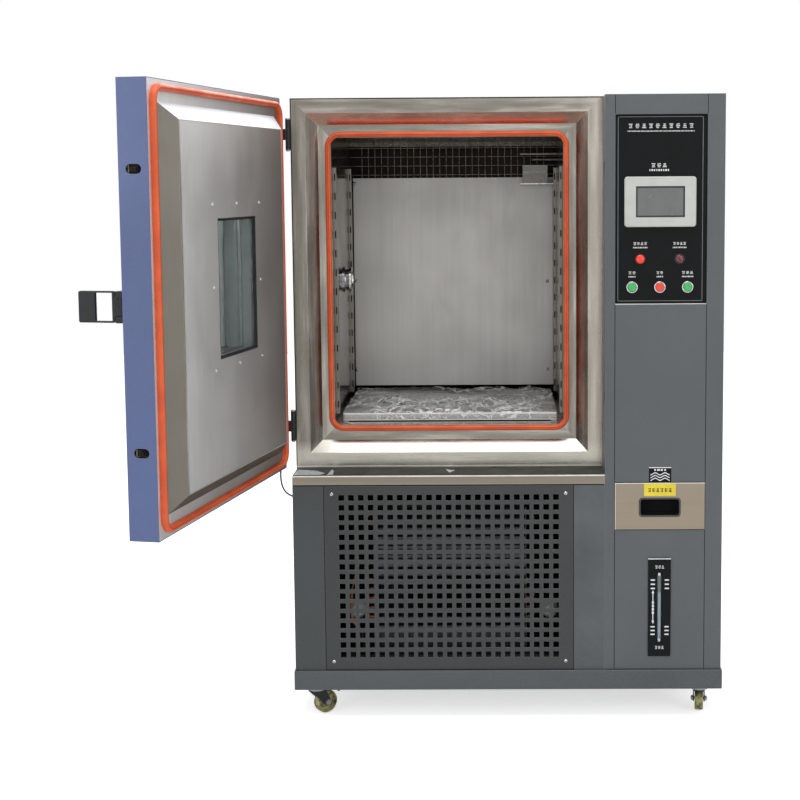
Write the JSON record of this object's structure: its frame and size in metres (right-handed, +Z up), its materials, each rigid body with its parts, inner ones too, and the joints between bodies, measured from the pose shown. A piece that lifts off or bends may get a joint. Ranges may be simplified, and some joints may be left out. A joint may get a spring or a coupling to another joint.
{
  "type": "environmental test chamber",
  "caption": "Floor-standing climate chamber with a hinged insulated door and window, a control column, a ventilation grille and casters.",
  "frame": {"origin": "on the floor below the middle of the chamber, in the plane of the control column's front", "axes": "+X to the right seen from the front, +Y to the back, +Z up"},
  "size_m": [1.4476, 1.651, 1.606],
  "materials": {
    "grey_paint": "satin",
    "blue_paint": "satin",
    "black_paint": "satin",
    "brushed_stainless": "satin",
    "warm_stainless": "satin",
    "bright_steel": "polished",
    "zinc_steel": "satin",
    "galvanised": "satin",
    "orange_silicone": "satin",
    "foam": "matte",
    "glass": "gloss",
    "film": "gloss",
    "black_plastic": "satin",
    "pale_plastic": "satin",
    "screen": "gloss",
    "red_lens": "gloss",
    "red_cap": "gloss",
    "green_cap": "gloss",
    "black_rubber": "satin",
    "amber_polyurethane": "gloss",
    "compressor_black": "gloss"
  },
  "bodies": {
    "cabinet": {"base_frame": "grey_paint", "left_side_panel": "grey_paint", "right_side_panel": "grey_paint", "top_panel": "grey_paint", "rear_panel": "grey_paint", "lower_front_frame": "grey_paint", "grille_panel": "grey_paint", "ledge_sill": "warm_stainless", "chamber_front_frame": "brushed_stainless", "frame_gasket": "orange_silicone", "chamber_liner": "brushed_stainless", "chamber_insulation": "foam", "back_baffle": "brushed_stainless", "outlet_grille": "brushed_stainless", "fan_motor": "zinc_steel", "heater_coil": "brushed_stainless", "evaporator": "galvanised", "shelf_standards": "brushed_stainless", "cable_port": "bright_steel", "wet_bulb_set": "brushed_stainless", "column_front": "grey_paint", "control_panel": "black_paint", "controller_bezel": "pale_plastic", "controller_screen": "screen", "panel_rings": "bright_steel", "pilot_lights": "red_lens", "gauge_plate": "black_paint", "gauge_tube": "glass", "drawer_runners": "zinc_steel", "hinge_frame_leaves": "black_paint", "compressor": "compressor_black", "condenser": "galvanised", "caster_plates": "black_paint", "door_cable": "black_rubber"},
    "door": {"door_shell": "blue_paint", "door_insulation": "foam", "door_plug": "brushed_stainless", "door_gasket": "orange_silicone", "window_frame": "black_rubber", "window_panes": "glass", "door_hardware": "black_paint"},
    "handle": {"handle": "black_paint"},
    "bolts": {"latch_bolts": "zinc_steel"},
    "run_button": {"run_button": "green_cap"},
    "stop_button": {"stop_button": "red_cap"},
    "light_button": {"light_button": "green_cap"},
    "water_drawer": {"water_drawer": "warm_stainless"},
    "shelf": {"shelf": "brushed_stainless", "shelf_film": "film"},
    "circulation_fan": {"circulation_fan": "galvanised"},
    "condenser_fan": {"condenser_fan": "black_plastic"},
    "caster_swivel_front_left": {"caster_fork_front_left": "black_paint"},
    "caster_wheel_front_left": {"caster_wheel_front_left": "amber_polyurethane"},
    "caster_swivel_front_right": {"caster_fork_front_right": "black_paint"},
    "caster_wheel_front_right": {"caster_wheel_front_right": "amber_polyurethane"},
    "caster_swivel_rear_left": {"caster_fork_rear_left": "black_paint"},
    "caster_wheel_rear_left": {"caster_wheel_rear_left": "amber_polyurethane"},
    "caster_swivel_rear_right": {"caster_fork_rear_right": "black_paint"},
    "caster_wheel_rear_right": {"caster_wheel_rear_right": "amber_polyurethane"}
  },
  "joints": [
    {"name": "door_hinge", "type": "hinge", "parent": "cabinet", "child": "door", "pos_m": [-0.4065, 0.085, 1.128], "axis": [0, 0, -1], "range_deg": [-101, 19]},
    {"name": "handle_pivot", "type": "hinge", "parent": "door", "child": "handle", "pos_m": [-0.6494, -0.65627, 1.137], "axis": [0, 0, 1], "range_deg": [-90, 0]},
    {"name": "bolt_slide", "type": "slide", "parent": "door", "child": "bolts", "axis": [-0.1908, -0.9816, 0], "range_m": [0, 0.015]},
    {"name": "run_button_press", "type": "slide", "parent": "cabinet", "child": "run_button", "axis": [0, 1, 0], "range_m": [0, 0.003], "stiffness_N_per_m": 400},
    {"name": "stop_button_press", "type": "slide", "parent": "cabinet", "child": "stop_button", "axis": [0, 1, 0], "range_m": [0, 0.003], "stiffness_N_per_m": 400},
    {"name": "light_button_press", "type": "slide", "parent": "cabinet", "child": "light_button", "axis": [0, 1, 0], "range_m": [0, 0.003], "stiffness_N_per_m": 400},
    {"name": "drawer_slide", "type": "slide", "parent": "cabinet", "child": "water_drawer", "axis": [0, -1, 0], "range_m": [0, 0.2]},
    {"name": "shelf_slide", "type": "slide", "parent": "cabinet", "child": "shelf", "axis": [0, -1, 0], "range_m": [0, 0.35]},
    {"name": "circulation_fan_spin", "type": "hinge", "parent": "cabinet", "child": "circulation_fan", "pos_m": [0, 0.66, 1.3], "axis": [0, 1, 0], "continuous": true},
    {"name": "condenser_fan_spin", "type": "hinge", "parent": "cabinet", "child": "condenser_fan", "pos_m": [0, 0.156, 0.38], "axis": [0, 1, 0], "continuous": true},
    {"name": "caster_swivel_front_left", "type": "hinge", "parent": "cabinet", "child": "caster_swivel_front_left", "pos_m": [-0.351, 0.046, 0.07], "axis": [0, 0, 1], "continuous": true},
    {"name": "caster_roll_front_left", "type": "hinge", "parent": "caster_swivel_front_left", "child": "caster_wheel_front_left", "pos_m": [-0.33134, 0.05977, 0.03], "axis": [0.5736, -0.8192, 0], "continuous": true},
    {"name": "caster_swivel_front_right", "type": "hinge", "parent": "cabinet", "child": "caster_swivel_front_right", "pos_m": [0.651, 0.046, 0.07], "axis": [0, 0, 1], "continuous": true},
    {"name": "caster_roll_front_right", "type": "hinge", "parent": "caster_swivel_front_right", "child": "caster_wheel_front_right", "pos_m": [0.65434, 0.06977, 0.03], "axis": [0.9903, -0.1392, 0], "continuous": true},
    {"name": "caster_swivel_rear_left", "type": "hinge", "parent": "cabinet", "child": "caster_swivel_rear_left", "pos_m": [-0.351, 0.898, 0.07], "axis": [0, 0, 1], "continuous": true},
    {"name": "caster_roll_rear_left", "type": "hinge", "parent": "caster_swivel_rear_left", "child": "caster_wheel_rear_left", "pos_m": [-0.37066, 0.88423, 0.03], "axis": [-0.5736, 0.8192, 0], "continuous": true},
    {"name": "caster_swivel_rear_right", "type": "hinge", "parent": "cabinet", "child": "caster_swivel_rear_right", "pos_m": [0.651, 0.898, 0.07], "axis": [0, 0, 1], "continuous": true},
    {"name": "caster_roll_rear_right", "type": "hinge", "parent": "caster_swivel_rear_right", "child": "caster_wheel_rear_right", "pos_m": [0.64683, 0.87436, 0.03], "axis": [-0.9848, 0.1736, 0], "continuous": true}
  ],
  "couplings": [
    {"joint": "bolt_slide", "follows": "handle_pivot", "m_per_rad": -0.0095}
  ]
}
